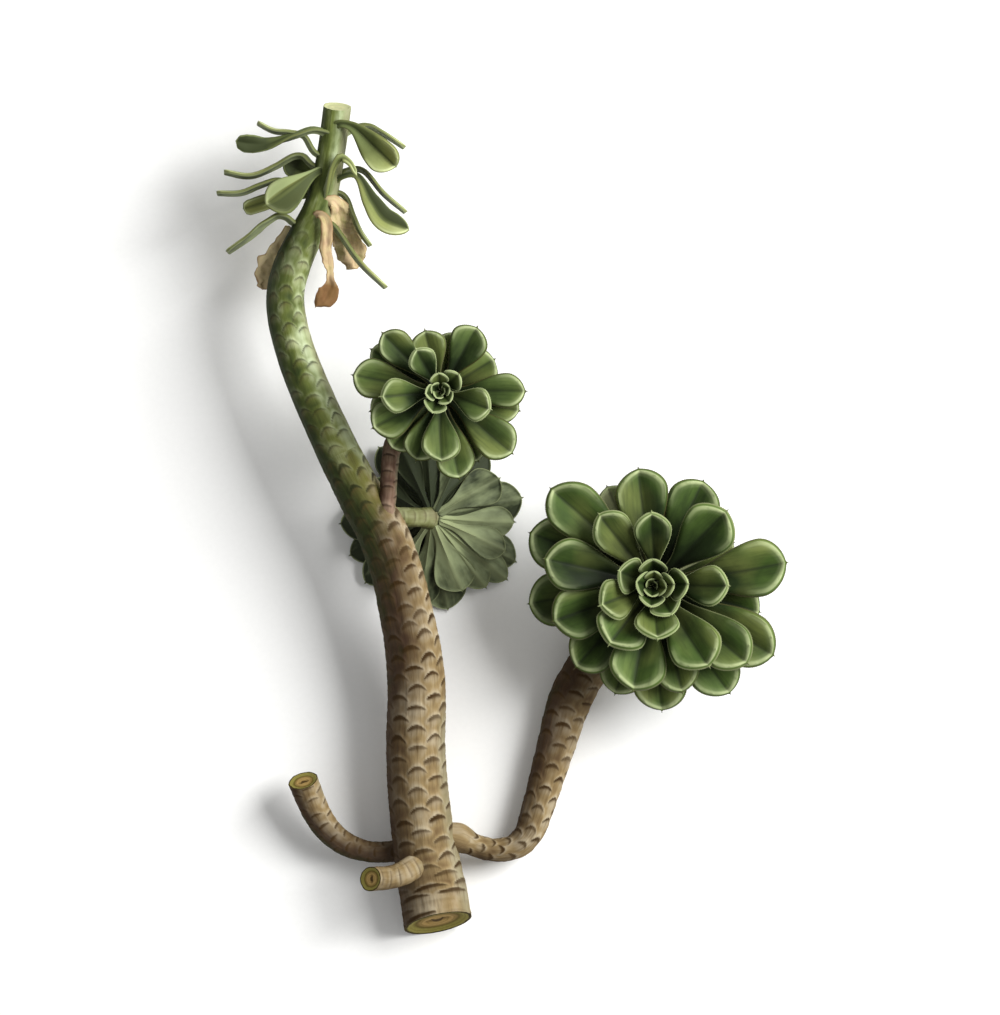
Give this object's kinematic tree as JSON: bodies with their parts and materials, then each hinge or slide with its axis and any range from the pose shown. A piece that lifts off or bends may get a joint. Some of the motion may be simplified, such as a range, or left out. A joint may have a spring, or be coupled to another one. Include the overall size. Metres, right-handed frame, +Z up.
{
  "type": "cut aeonium branch",
  "caption": "Cut branch of a tree aeonium with a scarred woody stem, a green leafy top, withered leaves and succulent rosettes, lying on a surface.",
  "frame": {"origin": "on the surface that the branch lies on, under the middle of its box", "axes": "+Y along the main stem from its cut foot to its cut top, +X towards the large rosette, +Z up from the surface"},
  "size_m": [0.285, 0.4181, 0.0871],
  "materials": {
    "bark": "matt bark with leaf scars",
    "green_stem": "satin green skin",
    "leaf_face": "satin fleshy leaf",
    "leaf_back": "dull fleshy leaf",
    "withered_leaf": "dry and matt"
  },
  "bodies": {
    "root": {"woody_stem": "bark", "green_shoot": "green_stem", "rosette_large": "leaf_face", "rosette_small": "leaf_face", "rosette_under": "leaf_back", "withered_leaf_1": "withered_leaf", "withered_leaf_2": "withered_leaf", "withered_leaf_3": "withered_leaf"}
  },
  "joints": []
}
